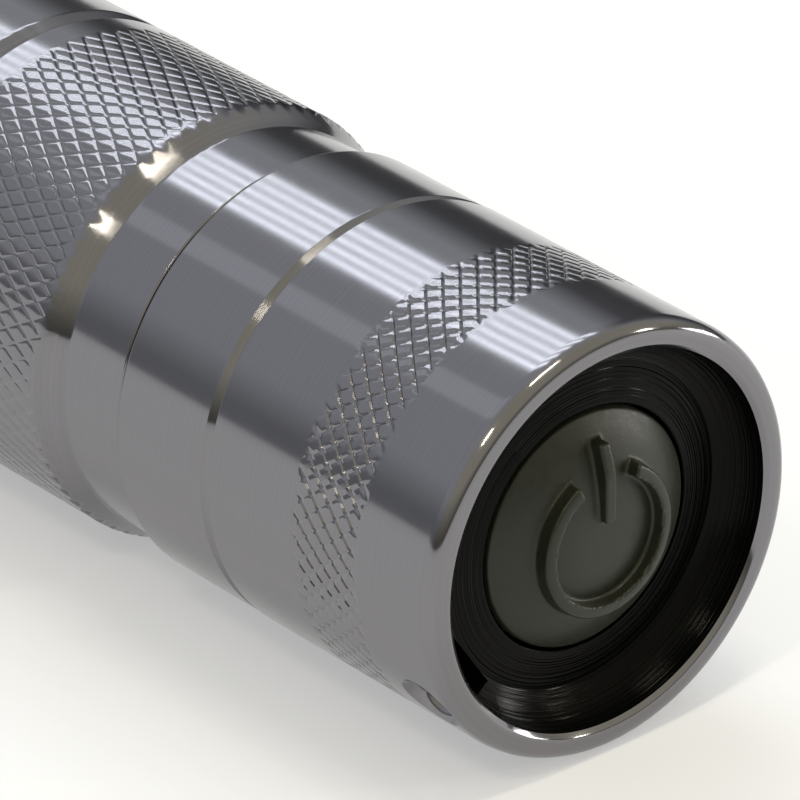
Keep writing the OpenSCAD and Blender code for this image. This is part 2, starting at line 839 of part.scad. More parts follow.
module glass_lens() {
  color("lightcyan", 0.4) lay() bar(lens_r, lens_at, lens_end);
}

module lens_o_ring() {
  color("black") lay()
    squeezed_ring(lens_r - lens_ring_t, lens_r, lens_ring_at, lens_ring_at + lens_ring_t);
}

module bezel_ring() {
  flange_at = head_end + stack_gap;
  lip = bezel_h / 2;
  color("gainsboro") lay() rotate_extrude()
    polygon([
      [bezel_open_r, bezel_at],
      [bezel_skirt_r, bezel_at],
      [bezel_skirt_r, flange_at],
      [bezel_r, flange_at],
      [bezel_r, total_len - head_bevel],
      [bezel_r - head_bevel, total_len],
      [bezel_open_r + lip, total_len],
      [bezel_open_r, total_len - lip]
    ]);
}

tail_cap();
boot_crown();
boot_skirt();
boot_washer();
switch_case();
switch_plunger();
switch_return_spring();
switch_terminals();
switch_board();
switch_retaining_ring();
tail_spring();
battery_tube();
tail_o_ring();
head_o_ring();
battery_cell();
battery_positive_end();
battery_insulator_ring();
head_shell();
head_spring();
brass_pill();
driver_board();
driver_coil();
driver_chips();
led_wires();
led_board();
led_package();
led_dome();
led_centring_ring();
reflector();
glass_lens();
lens_o_ring();
bezel_ring();
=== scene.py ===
"""Knurled tube light for one cell: skins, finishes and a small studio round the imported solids."""

import math

import bmesh
import bpy
from mathutils import Matrix, Vector, noise


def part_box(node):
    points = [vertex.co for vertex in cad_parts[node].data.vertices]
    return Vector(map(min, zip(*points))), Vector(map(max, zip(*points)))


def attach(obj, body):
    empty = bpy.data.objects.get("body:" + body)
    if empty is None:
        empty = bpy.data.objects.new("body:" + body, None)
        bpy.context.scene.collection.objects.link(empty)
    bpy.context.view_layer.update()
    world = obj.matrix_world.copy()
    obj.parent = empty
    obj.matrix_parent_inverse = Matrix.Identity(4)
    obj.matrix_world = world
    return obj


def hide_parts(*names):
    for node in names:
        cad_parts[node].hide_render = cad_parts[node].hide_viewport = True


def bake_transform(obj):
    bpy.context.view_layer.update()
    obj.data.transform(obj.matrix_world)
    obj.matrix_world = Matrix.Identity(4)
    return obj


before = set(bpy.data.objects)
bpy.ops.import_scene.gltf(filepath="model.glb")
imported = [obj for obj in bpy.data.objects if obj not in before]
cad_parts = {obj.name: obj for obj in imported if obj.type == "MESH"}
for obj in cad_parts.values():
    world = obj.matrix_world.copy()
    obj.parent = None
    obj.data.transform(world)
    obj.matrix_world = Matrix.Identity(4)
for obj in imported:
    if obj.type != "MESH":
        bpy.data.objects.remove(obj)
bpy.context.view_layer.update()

bl_info = {
    "name": "Tube light",
    "version": (1, 0, 0),
    "blender": (4, 5, 0),
    "location": "3D View > Sidebar > Tube light",
    "description": "Skins, finishes and studio of a knurled tube light, built round its solids",
    "category": "Object",
}

MM = 0.001
RIM_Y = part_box("tail_cap")[0].y
AXIS_Z = (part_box("battery_tube")[0].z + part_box("battery_tube")[1].z) / 2
AXIS = (0, 1, 0)
STEPS = 192


def at(station):
    """World y of a station, which is counted in mm from the tail rim."""
    return RIM_Y + station * MM


def starts(node):
    """Station at which a solid starts."""
    return (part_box(node)[0].y - RIM_Y) / MM


def ends(node):
    """Station at which a solid ends."""
    return (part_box(node)[1].y - RIM_Y) / MM


def radius_of(node):
    """Outer radius of a round solid, in mm."""
    low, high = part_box(node)
    return (high.x - low.x) / 2 / MM


def linear(code):
    """An sRGB hex code as the linear colour that sockets take."""
    parts = [int(code[i:i + 2], 16) / 255 for i in (0, 2, 4)]
    return (*[c / 12.92 if c <= 0.04045 else ((c + 0.055) / 1.055) ** 2.4 for c in parts], 1.0)


# Radii and stations in mm, from the solids' boxes
CAP_R = radius_of("tail_cap")
CAP_END = ends("tail_cap")
GRIP_R = radius_of("battery_tube")
TUBE_START = starts("battery_tube")
TUBE_END = ends("battery_tube")
HEAD_START = starts("head_shell")
HEAD_END = ends("head_shell")
LENS_START = starts("glass_lens")
LENS_R = radius_of("glass_lens")
TOTAL_LEN = ends("bezel_ring")
BEZEL_R = radius_of("bezel_ring")
BEZEL_START = starts("bezel_ring")
REFLECTOR_START = starts("reflector")
REFLECTOR_END = ends("reflector")
REFLECTOR_R = radius_of("reflector")
BOOT_R = radius_of("boot_crown")

# Radii and stations in mm that a box doesn't tell, as the solids have them
BOOT_TOP = 0.6
FLOOR_AT = 2.2
FLOOR_BACK = 4.9
BORE_R = 9.5
THREAD_R = 11.2
ROOT_R = 10.7
LAND_R = 11.45
SEAL_R = 11.6
SOCKET_R = 11.3
NECK_R = 12.1
CONE_LEN = 1.6
SIGN_CLEAR = 0.05
LANYARD_AT = 2.65
LANYARD_R = 1.5
LANYARD_DIP = math.radians(34)
RECESS_R = 11.12
RECESS_FROM = 0.24
SIGN_FOOT = 1.9
COLLAR_R = 14.3


class TorchSizes(bpy.types.PropertyGroup):
    """Sizes of the fine forms, which the solids leave plain."""

    cap_knurl_count: bpy.props.IntProperty(
        name="Cap knurl grooves", description="Grooves of each slant round the tail cap",
        default=64, min=24, max=96)
    cap_knurl_pitch: bpy.props.FloatProperty(
        name="Cap knurl pitch", description="Length of one cap diamond along the axis",
        default=1.43 * MM, unit="LENGTH", precision=5)
    cap_knurl_depth: bpy.props.FloatProperty(
        name="Cap knurl depth", description="Depth of the fine cut grooves of the cap",
        default=0.08 * MM, unit="LENGTH", precision=5)
    grip_knurl_count: bpy.props.IntProperty(
        name="Grip knurl grooves", description="Grooves of each slant round the grip",
        default=72, min=24, max=96)
    grip_knurl_pitch: bpy.props.FloatProperty(
        name="Grip knurl pitch", description="Length of one grip diamond along the axis",
        default=1.87 * MM, unit="LENGTH", precision=5)
    grip_knurl_depth: bpy.props.FloatProperty(
        name="Grip knurl depth", description="Depth of the grip's pressed grooves",
        default=0.065 * MM, unit="LENGTH", precision=5)
    thread_pitch: bpy.props.FloatProperty(
        name="Thread pitch", description="Rise of the tube's two threads in one turn",
        default=1.0 * MM, unit="LENGTH", precision=5)
    sign_radius: bpy.props.FloatProperty(
        name="Sign radius", description="Middle radius of the raised power sign's ring",
        default=4.1 * MM, unit="LENGTH", precision=5)
    sign_width: bpy.props.FloatProperty(
        name="Sign width", description="Width of the raised lines", default=0.75 * MM,
        unit="LENGTH", precision=5)
    sign_gap: bpy.props.FloatProperty(
        name="Sign gap", description="Half of the ring's opening at the top",
        default=math.radians(28), unit="ROTATION")
    turned_line: bpy.props.FloatProperty(
        name="Turned line", description="Spacing of the lathe's fine lines",
        default=0.12 * MM, unit="LENGTH", precision=5)
    lens_length: bpy.props.FloatProperty(
        name="Focal length", description="Focal length of the camera in millimetres",
        default=411.7, unit="CAMERA", min=20, max=900)


class TorchColours(bpy.types.PropertyGroup):
    """Colours of the finishes."""

    metal: bpy.props.FloatVectorProperty(
        name="Anodised metal", description="Satin grey of the turned tube", subtype="COLOR", size=4,
        default=linear("7E7D81"), min=0, max=1)
    # Black of the recess, which is partly painted shade of the deep recess
    recess: bpy.props.FloatVectorProperty(
        name="Recess", description="Black of the recess round the button", subtype="COLOR", size=4,
        default=linear("040404"), min=0, max=1)
    rubber: bpy.props.FloatVectorProperty(
        name="Button rubber", description="Dark olive grey of the button", subtype="COLOR", size=4,
        default=linear("1D2015"), min=0, max=1)
    floor: bpy.props.FloatVectorProperty(
        name="Floor", description="Pale floor of the studio", subtype="COLOR", size=4,
        default=linear("D0D1D4"), min=0, max=1)


# Finishes

FINISHES = {}
NOISE_SPAN = (0.3, 0.7)


def add_node(tree, kind, inputs=None, links=None, **settings):
    """Adds a node to a tree, with its settings, its plain values and what feeds its sockets."""
    node = tree.nodes.new(kind)
    for key, value in settings.items():
        setattr(node, key, value)
    for key, value in (inputs or {}).items():
        node.inputs[key].default_value = value
    for key, source in (links or {}).items():
        tree.links.new(source, node.inputs[key])
    return node


def new_finish(name, colour, metallic, roughness, **sockets):
    """A material with its plain values on the shader's own sockets, and its tree and shader."""
    material = bpy.data.materials.new(name)
    material.use_nodes = True
    shader = material.node_tree.nodes["Principled BSDF"]
    shader.inputs["Base Color"].default_value = colour
    shader.inputs["Metallic"].default_value = metallic
    shader.inputs["Roughness"].default_value = roughness
    for key, value in sockets.items():
        shader.inputs[key.replace("_", " ")].default_value = value
    FINISHES[name] = material
    return material.node_tree, shader


def maths(tree, operation, first, second):
    """The result of a sum on two sockets."""
    node = add_node(tree, "ShaderNodeMath", None, {0: first, 1: second}, operation=operation)
    return node.outputs[0]


def vector_maths(tree, operation, source, plain=None):
    """The outputs of a sum on a vector socket and, where it takes one, a plain vector."""
    values = {1: plain} if plain else None
    return add_node(tree, "ShaderNodeVectorMath", values, {0: source}, operation=operation).outputs


def grain(tree, size, detail=3.0, squash=(1, 1, 1)):
    """Noise whose lumps are about size metres across, pressed along the axes by squash."""
    place = add_node(tree, "ShaderNodeTexCoord").outputs["Object"]
    scaled = add_node(tree, "ShaderNodeMapping", {"Scale": squash}, {"Vector": place})
    lumps = add_node(
        tree, "ShaderNodeTexNoise", {"Scale": 1 / size, "Detail": detail},
        {"Vector": scaled.outputs["Vector"]})
    return lumps.outputs["Fac"]


def centred(tree):
    """Object coordinates with the light's axis at zero."""
    place = add_node(tree, "ShaderNodeTexCoord").outputs["Object"]
    moved = add_node(tree, "ShaderNodeMapping", {"Location": (0, 0, -AXIS_Z)}, {"Vector": place})
    return moved.outputs["Vector"]


def along_cuts(tree, shader):
    """Points the shader's stretched gloss along the lathe's cuts, which run round the axis."""
    way = vector_maths(tree, "CROSS_PRODUCT", centred(tree), AXIS)["Vector"]
    run = vector_maths(tree, "NORMALIZE", way)["Vector"]
    tree.links.new(run, shader.inputs["Tangent"])


def lathe_lines(tree, spacing, detail=2.0):
    """Rings cut by a lathe: noise that runs with the radius less the distance along the axis."""
    middle = centred(tree)
    across = vector_maths(tree, "MULTIPLY", middle, (1, 0, 1))["Vector"]
    out = vector_maths(tree, "LENGTH", across)["Value"]
    along = add_node(tree, "ShaderNodeSeparateXYZ", None, {"Vector": middle}).outputs["Y"]
    rings = add_node(
        tree, "ShaderNodeTexNoise", {"Scale": 1 / spacing, "Detail": detail},
        {"W": maths(tree, "SUBTRACT", out, along)}, noise_dimensions="1D")
    return rings.outputs["Fac"]


def spread(tree, source, low, high, to_low, to_high):
    """Maps a span of a value onto another."""
    node = add_node(
        tree, "ShaderNodeMapRange",
        {"From Min": low, "From Max": high, "To Min": to_low, "To Max": to_high},
        {"Value": source})
    return node.outputs["Result"]


def mixed(tree, source, first, second):
    """A colour ramp from the first colour to the second."""
    ramp = add_node(tree, "ShaderNodeValToRGB", None, {"Fac": source})
    for element, position, colour in zip(
            ramp.color_ramp.elements, NOISE_SPAN, (first, second)):
        element.position = position
        element.color = colour
    return ramp.outputs["Color"]


def tinted(tree, shader, source, first, second):
    """Lets a noise vary the shader's colour between two."""
    tree.links.new(mixed(tree, source, first, second), shader.inputs["Base Color"])


def dulled(tree, shader, source, low, high):
    """Lets a noise vary the shader's roughness between two values."""
    tree.links.new(spread(tree, source, *NOISE_SPAN, low, high), shader.inputs["Roughness"])


def bumped(tree, shader, height, distance, strength):
    """Feeds a noise, as a height of so many metres, to the shader's normal."""
    bump = add_node(
        tree, "ShaderNodeBump", {"Distance": distance, "Strength": strength}, {"Height": height})
    tree.links.new(bump.outputs["Normal"], shader.inputs["Normal"])


def shade(colour, factor):
    """A darker or lighter version of a colour."""
    return (*[min(1, c * factor) for c in colour[:3]], 1)


def make_finishes(sizes, colours):
    """All the materials of the light."""
    metal, recess, rubber = tuple(colours.metal), tuple(colours.recess), tuple(colours.rubber)

    # Anodised aluminium, turned and lightly blasted: satin, with fine rings that draw
    # highlights out along the axis
    tree, shader = new_finish(
        "anodised_turned_aluminium", metal, 1.0, 0.125, Anisotropic=0.85, Anisotropic_Rotation=0.25)
    along_cuts(tree, shader)
    lines = lathe_lines(tree, sizes.turned_line)
    clouds = grain(tree, 2 * MM, 4.0)
    dulled(tree, shader, clouds, 0.11, 0.14)
    tinted(tree, shader, lines, shade(metal, 0.96), shade(metal, 1.04))
    bumped(tree, shader, lines, 0.0007 * MM, 0.5)

    # Black anodised aluminium left as turned: deep black with fine, faintly glinting rings
    # Its deep black is partly painted shade: it stands in for the shade deep inside the recess
    tree, shader = new_finish(
        "recess_black_anodise_and_painted_shade", recess, 0.0, 0.15, Specular_IOR_Level=0.075,
        Anisotropic=0.85, Anisotropic_Rotation=0.25)
    along_cuts(tree, shader)
    lines = lathe_lines(tree, 0.11 * MM, 1.0)
    tinted(tree, shader, lines, shade(recess, 0.5), shade(recess, 2.5))
    bumped(tree, shader, lines, 0.04 * MM, 1.0)

    # Moulded silicone rubber: matt, faintly dusty, with a fine spark-eroded grain
    tree, shader = new_finish(
        "moulded_silicone_rubber", rubber, 0.0, 0.4, Sheen_Weight=0.03, Specular_IOR_Level=0.42)
    dust = grain(tree, 0.5 * MM, 4.0)
    tinted(tree, shader, dust, shade(rubber, 0.9), shade(rubber, 1.15))
    dulled(tree, shader, dust, 0.34, 0.46)
    bumped(tree, shader, grain(tree, 0.12 * MM), 0.012 * MM, 0.5)

    # Turned stainless steel: bright and soft, with fine lathe lines
    tree, shader = new_finish("turned_stainless_steel", linear("B9B6B1"), 1.0, 0.22)
    bumped(tree, shader, lathe_lines(tree, 0.15 * MM), 0.004 * MM, 0.5)

    # Drawn music wire: bright, with a fine grain
    tree, shader = new_finish("drawn_spring_steel", linear("C9C6BE"), 1.0, 0.2)
    bumped(tree, shader, grain(tree, 0.1 * MM), 0.003 * MM, 0.4)

    # Turned brass: warm and bright, with lathe lines
    tree, shader = new_finish("turned_brass", linear("C9A45A"), 1.0, 0.25)
    bumped(tree, shader, lathe_lines(tree, 0.15 * MM), 0.006 * MM, 0.6)
    tarnish = grain(tree, 2 * MM)
    tinted(tree, shader, tarnish, linear("B98F45"), linear("D3B068"))

    # Injection-moulded nylon, black: fine moulded grain
    tree, shader = new_finish("moulded_black_nylon", linear("1A1A1B"), 0.0, 0.45)
    bumped(tree, shader, grain(tree, 0.15 * MM), 0.01 * MM, 0.6)

    # Injection-moulded acetal, white: slightly waxy
    tree, shader = new_finish(
        "moulded_white_acetal", linear("E9E7E0"), 0.0, 0.4, Subsurface_Weight=0.05)
    bumped(tree, shader, grain(tree, 0.2 * MM), 0.006 * MM, 0.5)

    # Glass-fibre board with green solder mask: the weave shows faintly under the gloss
    tree, shader = new_finish(
        "green_glass_fibre_board", linear("1D5A34"), 0.0, 0.25, Coat_Weight=0.3)
    weave = grain(tree, 0.5 * MM, 1.0, (1, 1, 3))
    tinted(tree, shader, weave, linear("174C2B"), linear("24683D"))
    bumped(tree, shader, weave, 0.01 * MM, 0.4)

    # Nitrile rubber, greased: black with a wet gloss
    tree, shader = new_finish(
        "greased_nitrile_rubber", linear("141414"), 0.0, 0.22, Coat_Weight=0.4)
    bumped(tree, shader, grain(tree, 0.4 * MM), 0.01 * MM, 0.4)

    # Shrunk vinyl film on the cell: glossy blue with soft wrinkles
    tree, shader = new_finish("shrunk_vinyl_film", linear("2C4FA0"), 0.0, 0.28, Coat_Weight=0.5)
    bumped(tree, shader, grain(tree, 3 * MM, 2.0, (1, 0.3, 1)), 0.05 * MM, 0.6)

    # Sintered ferrite: dark grey, dull and grainy
    tree, shader = new_finish("sintered_ferrite", linear("3A3A3C"), 0.1, 0.6)
    bumped(tree, shader, grain(tree, 0.1 * MM), 0.02 * MM, 0.8)

    # Silicone wire cover: red, satin
    tree, shader = new_finish("silicone_wire_cover", linear("A8262A"), 0.0, 0.45)
    bumped(tree, shader, grain(tree, 0.2 * MM), 0.01 * MM, 0.4)

    # White solder mask on an aluminium board: chalky gloss
    tree, shader = new_finish("white_solder_mask", linear("ECECE8"), 0.0, 0.35)
    bumped(tree, shader, grain(tree, 0.3 * MM), 0.005 * MM, 0.5)

    # Phosphor layer of the diode: yellow powder under silicone
    tree, shader = new_finish("phosphor_layer", linear("D9C34A"), 0.0, 0.6)
    bumped(tree, shader, grain(tree, 0.06 * MM), 0.01 * MM, 0.8)

    # Clear cast silicone dome
    tree, shader = new_finish(
        "clear_cast_silicone", linear("FFF8E0"), 0.0, 0.03, IOR=1.42, Transmission_Weight=0.85)
    bumped(tree, shader, grain(tree, 1 * MM), 0.002 * MM, 0.3)

    # Aluminium vapour-coated over fine orange peel: a mirror that breaks up lights a little
    tree, shader = new_finish("vapour_coated_mirror", linear("E8E8EA"), 1.0, 0.08)
    bumped(tree, shader, grain(tree, 0.5 * MM, 2.0), 0.012 * MM, 0.6)

    # Toughened glass with an anti-reflection coating: a faint violet film
    tree, shader = new_finish(
        "coated_toughened_glass", linear("FBFDFF"), 0.0, 0.01, IOR=1.52, Transmission_Weight=1.0,
        Specular_Tint=linear("CDBBFF"))
    bumped(tree, shader, grain(tree, 6 * MM), 0.001 * MM, 0.2)


# Modelling


def around(station, radius, angle=0.0):
    """The point at a station, a radius in mm and an angle round the light's axis."""
    return Vector((
        math.sin(angle) * radius * MM, at(station), AXIS_Z + math.cos(angle) * radius * MM))


def off_axis(co):
    """Distance of a point from the light's axis, in mm."""
    return math.hypot(co.x, co.z - AXIS_Z) / MM


def angle_of(co):
    """Angle of a point round the light's axis, from the top."""
    return math.atan2(co.x, co.z - AXIS_Z)


def station_of(co):
    """Station of a point."""
    return (co.y - RIM_Y) / MM


def all_of(bm):
    """The vertices, edges and faces of a mesh."""
    return bm.verts[:] + bm.edges[:] + bm.faces[:]


def spun(bm, geom, angle, steps, **more):
    """Spins parts of a mesh round the light's axis."""
    bmesh.ops.spin(
        bm, geom=geom, cent=(0, 0, AXIS_Z), axis=AXIS, angle=angle, steps=steps, **more)


def turned(points, steps=STEPS):
    """Turns an outline of (station, radius, fillet) in mm round the axis, into a closed mesh."""
    bm = bmesh.new()
    corners = [bm.verts.new(around(station, radius)) for station, radius, _ in points]
    bm.faces.new(corners)
    for fillet in sorted({point[2] for point in points if point[2]}):
        rounded = [v for v, point in zip(corners, points) if point[2] == fillet]
        bmesh.ops.bevel(
            bm, geom=rounded, offset=fillet * MM, segments=3 if fillet < 0.3 else 8, profile=0.5,
            affect="VERTICES", material=-1)
    bmesh.ops.delete(bm, geom=bm.faces[:], context="FACES_ONLY")
    core = [e for e in bm.edges if all(off_axis(v.co) < 1e-4 for v in e.verts)]
    bmesh.ops.delete(bm, geom=core, context="EDGES")
    spun(bm, bm.verts[:] + bm.edges[:], math.tau, steps, use_merge=True)
    bmesh.ops.remove_doubles(bm, verts=bm.verts, dist=0.0005 * MM)
    bmesh.ops.recalc_face_normals(bm, faces=bm.faces)
    return bm


def joined(*parts):
    """Several meshes as one, each closed by itself."""
    whole = bmesh.new()
    for part in parts:
        mesh = bpy.data.meshes.new("part")
        part.to_mesh(mesh)
        part.free()
        whole.from_mesh(mesh)
        bpy.data.meshes.remove(mesh)
    return whole


def cut_groove(value, edge):
    """Height of a fine cut groove across one slant: none on the groove's line, full on the flat."""
    return 0.0 if min(value, 1 - value) < edge / 2 else 1.0


def pillow(value):
    """Height across one slant of a pressed bump."""
    return 1 - abs(2 * value - 1) ** 6


def knurl(count, pitch, first, last, crest, depth, lines, height, limit, inner):
    """A closed ring of crossed knurling: one diamond, stacked along the axis and then spun."""
    bm = bmesh.new()
    cells = len(lines) - 1
    for row in range(-1, math.ceil((last - first) / (pitch / 2)) + 2):
        grid = bmesh.ops.create_grid(bm, x_segments=cells, y_segments=cells, size=0.5)
        for v in grid["verts"]:
            u = lines[round((v.co.x + 0.5) * cells)]
            w = lines[round((v.co.y + 0.5) * cells)]
            v.co = around(
                first + (row + u + w - 1) * pitch / 2, crest - depth * (1 - height(u, w)),
                (u - w + row % 2) * math.pi / count)
    spun(bm, all_of(bm), math.tau * (count - 1) / count, count - 1, use_duplicate=True)
    bmesh.ops.remove_doubles(bm, verts=bm.verts, dist=0.004 * MM)
    for station, way in ((first, -1), (last, 1)):
        bmesh.ops.bisect_plane(
            bm, geom=all_of(bm), dist=0.001 * MM, plane_co=(0, at(station), 0),
            plane_no=(0, way, 0), clear_outer=True)
    for v in bm.verts:
        angle, station = angle_of(v.co), station_of(v.co)
        v.co = around(station, limit(station, angle, off_axis(v.co)), angle)
    rim = [e for e in bm.edges if e.is_boundary]
    for v in bmesh.ops.extrude_edge_only(bm, edges=rim)["geom"]:
        if isinstance(v, bmesh.types.BMVert):
            v.co = around(station_of(v.co), inner, angle_of(v.co))
    bmesh.ops.bridge_loops(bm, edges=[e for e in bm.edges if e.is_boundary])
    bmesh.ops.recalc_face_normals(bm, faces=bm.faces)
    return bm


def ridge(first, turns, pitch, root, crest):
    """A screw ridge from a station on, as one wedge drawn round and along the axis."""
    bm = bmesh.new()
    outline = [(0.08, root), (0.4, crest), (0.6, crest), (0.92, root)]
    wedge = bm.faces.new([
        bm.verts.new(around(first + share * pitch, radius)) for share, radius in outline])
    per_turn = 72
    spun(
        bm, [wedge, *wedge.edges, *wedge.verts], math.tau * turns, round(per_turn * turns),
        dvec=(0, pitch * MM / per_turn, 0))
    bmesh.ops.recalc_face_normals(bm, faces=bm.faces)
    return bm


ON_EDGE = Matrix.Rotation(math.radians(90), 4, "Y")


def coil(first, last, wire, start_r, end_r, turns):
    """A wire wound round the axis, whose radius changes evenly, with closed ends."""
    bm = bmesh.new()
    ring = bmesh.ops.create_circle(bm, cap_ends=True, segments=12, radius=wire * MM)["verts"]
    place = Matrix.Translation(around(first + wire, start_r))
    bmesh.ops.transform(bm, matrix=place @ ON_EDGE, verts=ring)
    steps = round(36 * turns)
    run = last - first - 2 * wire
    spun(bm, all_of(bm), math.tau * turns, steps, dvec=(0, run / steps * MM, 0))
    for v in bm.verts:
        share = (station_of(v.co) - first - wire) / run
        radius = off_axis(v.co) + (end_r - start_r) * min(1, max(0, share))
        v.co = around(station_of(v.co), radius, angle_of(v.co))
    bmesh.ops.recalc_face_normals(bm, faces=bm.faces)
    return bm


def linked(name, data):
    """An object of a mesh, lamp or camera, placed in the scene."""
    obj = bpy.data.objects.new(name, data)
    bpy.context.scene.collection.objects.link(obj)
    return obj


def piece(name, bm, finishes, body, nodes, sharp=32, inside=None):
    """Makes a finished object of a mesh, which rides on a body and stands for CAD nodes."""
    mesh = bpy.data.meshes.new(name)
    for face in bm.faces:
        face.smooth = True
        if inside and inside(face.calc_center_median()):
            face.material_index = 1
    for edge in bm.edges:
        edge.smooth = len(edge.link_faces) == 2 and edge.calc_face_angle(0) < math.radians(sharp)
    bm.to_mesh(mesh)
    bm.free()
    obj = linked(name, mesh)
    for finish in finishes:
        mesh.materials.append(FINISHES[finish])
    even = obj.modifiers.new("Even normals", "WEIGHTED_NORMAL")
    even.keep_sharp = True
    even.weight = 60
    if body:
        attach(obj, body)
    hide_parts(*nodes)
    return obj


def applied(obj, kind, **settings):
    """Runs one modifier on a working object and keeps its result."""
    modifier = obj.modifiers.new("Once", kind)
    for key, value in settings.items():
        setattr(modifier, key, value)
    seen = obj.evaluated_get(bpy.context.evaluated_depsgraph_get())
    mesh = bpy.data.meshes.new_from_object(seen)
    obj.modifiers.clear()
    old, obj.data = obj.data, mesh
    bpy.data.meshes.remove(old)


def loose(bm, name):
    """A bare object of a mesh."""
    mesh = bpy.data.meshes.new(name)
    bm.to_mesh(mesh)
    bm.free()
    return linked(name, mesh)


def as_bmesh(obj):
    """The mesh of a working object, which is then removed."""
    bm = bmesh.new()
    bm.from_mesh(obj.data)
    mesh = obj.data
    bpy.data.objects.remove(obj)
    bpy.data.meshes.remove(mesh)
    return bm


def arc(centre, middle, radius, start, end, steps):
    """Outline points on an arc about (centre station, middle radius), with no fillets."""
    turn = [math.radians(start + (end - start) * i / steps) for i in range(steps + 1)]
    return [(centre + radius * math.sin(a), middle + radius * math.cos(a), 0) for a in turn]


# Tail


def lanyard_cutter():
    """A spindle on the lanyard hole's axis: flared inside, straight in the wall, bevelled."""
    way = Vector((-math.cos(LANYARD_DIP), 0, -math.sin(LANYARD_DIP)))
    base = around(LANYARD_AT, 0)
    bm = bmesh.new()
    outline = [
        (9.4, 0), (9.4, 2.25), (10.93, LANYARD_R), (12.1, LANYARD_R), (12.35, 1.62),
        (13.4, 2.7), (13.4, 0)]
    points = [bm.verts.new(base + way * t * MM + Vector((0, r * MM, 0))) for t, r in outline]
    edges = [bm.edges.new(pair) for pair in zip(points, points[1:])]
    bmesh.ops.spin(
        bm, geom=points + edges, cent=base, axis=way, angle=math.tau, steps=72, use_merge=True)
    bmesh.ops.remove_doubles(bm, verts=bm.verts, dist=0.001 * MM)
    bmesh.ops.recalc_face_normals(bm, faces=bm.faces)
    return bm


# The cap's knurl: its stations, the share of a diamond that a groove takes, and in mm how far
# it keeps off the ends, runs out over and wanders there
CAP_KNURL = (6.0, 11.6)
CAP_GROOVE = 0.11
CAP_MARGIN = 0.12
CAP_RUN_OUT = 0.35
CAP_JITTER = 0.22


def cap_height(u, w):
    """Height of the cap's knurl: full grooves along one slant, broken ones along the other."""
    return min(0.3 + 0.7 * cut_groove(u, CAP_GROOVE), cut_groove(w, CAP_GROOVE))


def cap_limit(station, angle, radius):
    """Lets the cap's grooves run out unevenly at both ends, as the cutting wheel left them."""
    first, last = CAP_KNURL
    spot = Vector((math.sin(angle) * 14, math.cos(angle) * 14, station * 0.2))
    room = min(station - first, last - station) - CAP_MARGIN + CAP_JITTER * noise.noise(spot)
    share = min(1, max(0, room / CAP_RUN_OUT))
    return CAP_R - (CAP_R - radius) * share


class TORCH_OT_tail_cap(bpy.types.Operator):
    """Builds the tail cap: knurled band, turned ring, rounded rim, recess and lanyard hole"""

    bl_idname = "torch.tail_cap"
    bl_label = "Tail cap"

    def execute(self, context):
        sizes = context.scene.torch_sizes
        first, last = CAP_KNURL
        slot_r = CAP_R - 0.5
        body = turned([
            (0, 11.38, 0.1),
            *arc(0.25, 8.6, 2.5, 0, 69, 12),
            (FLOOR_AT, 7.15, 0.12),
            (FLOOR_BACK, 7.15, 0),
            (FLOOR_BACK, 8.85, 0),
            (5.95, 8.85, 0),
            (5.95, 10.3, 0),
            (17.2, 10.3, 0),
            (17.2, SOCKET_R, 0),
            (22.3, SOCKET_R, 0),
            (22.3, SEAL_R, 0),
            (CAP_END, SEAL_R, 0.1),
            (CAP_END, 12.5, 0.08),
            (26.25, 12.65, 0.05),
            (19.2, 12.65, 0.03),
            (18.58, CAP_R - 0.38, 0.03),
            (18.5, CAP_R - 0.38, 0.03),
            (18.5, CAP_R, 0.05),
            (last, CAP_R, 0),
            (last, slot_r, 0),
            (first, slot_r, 0),
            (first, CAP_R, 0),
            (4.8, CAP_R, 0),
            (1.0, CAP_R, 0.0),
            (0.55, CAP_R - 0.08, 0),
            (0.22, CAP_R - 0.26, 0),
            (0.05, CAP_R - 0.5, 0),
            (0, CAP_R - 0.78, 0),
        ])
        work = loose(body, "cap_work")
        cutter = loose(lanyard_cutter(), "lanyard_work")
        applied(work, "BOOLEAN", operation="DIFFERENCE", object=cutter, solver="EXACT")
        bpy.data.objects.remove(cutter)
        lines = [0, CAP_GROOVE, 0.36, 0.64, 1 - CAP_GROOVE, 1]
        band = knurl(
            sizes.cap_knurl_count, sizes.cap_knurl_pitch / MM, first, last, CAP_R,
            sizes.cap_knurl_depth / MM, lines, cap_height, cap_limit, slot_r + 0.05)
        # Faces inside the recess take the black finish, which paints in the recess's shade
        piece(
            "tail_cap_turned", joined(as_bmesh(work), band),
            ["anodised_turned_aluminium", "recess_black_anodise_and_painted_shade"], "tail", ["tail_cap"],
            inside=lambda co: off_axis(co) < RECESS_R and station_of(co) > RECESS_FROM)
        return {"FINISHED"}


def crown_station(radius):
    """Station of the rubber crown's surface at a radius in mm."""
    return BOOT_TOP + (FLOOR_AT - BOOT_TOP) * (radius / BOOT_R) ** 2.6


def sign_station(radius):
    """Station of the raised sign's top at a radius in mm."""
    return max(crown_station(radius) - 0.9, SIGN_CLEAR + 0.02)


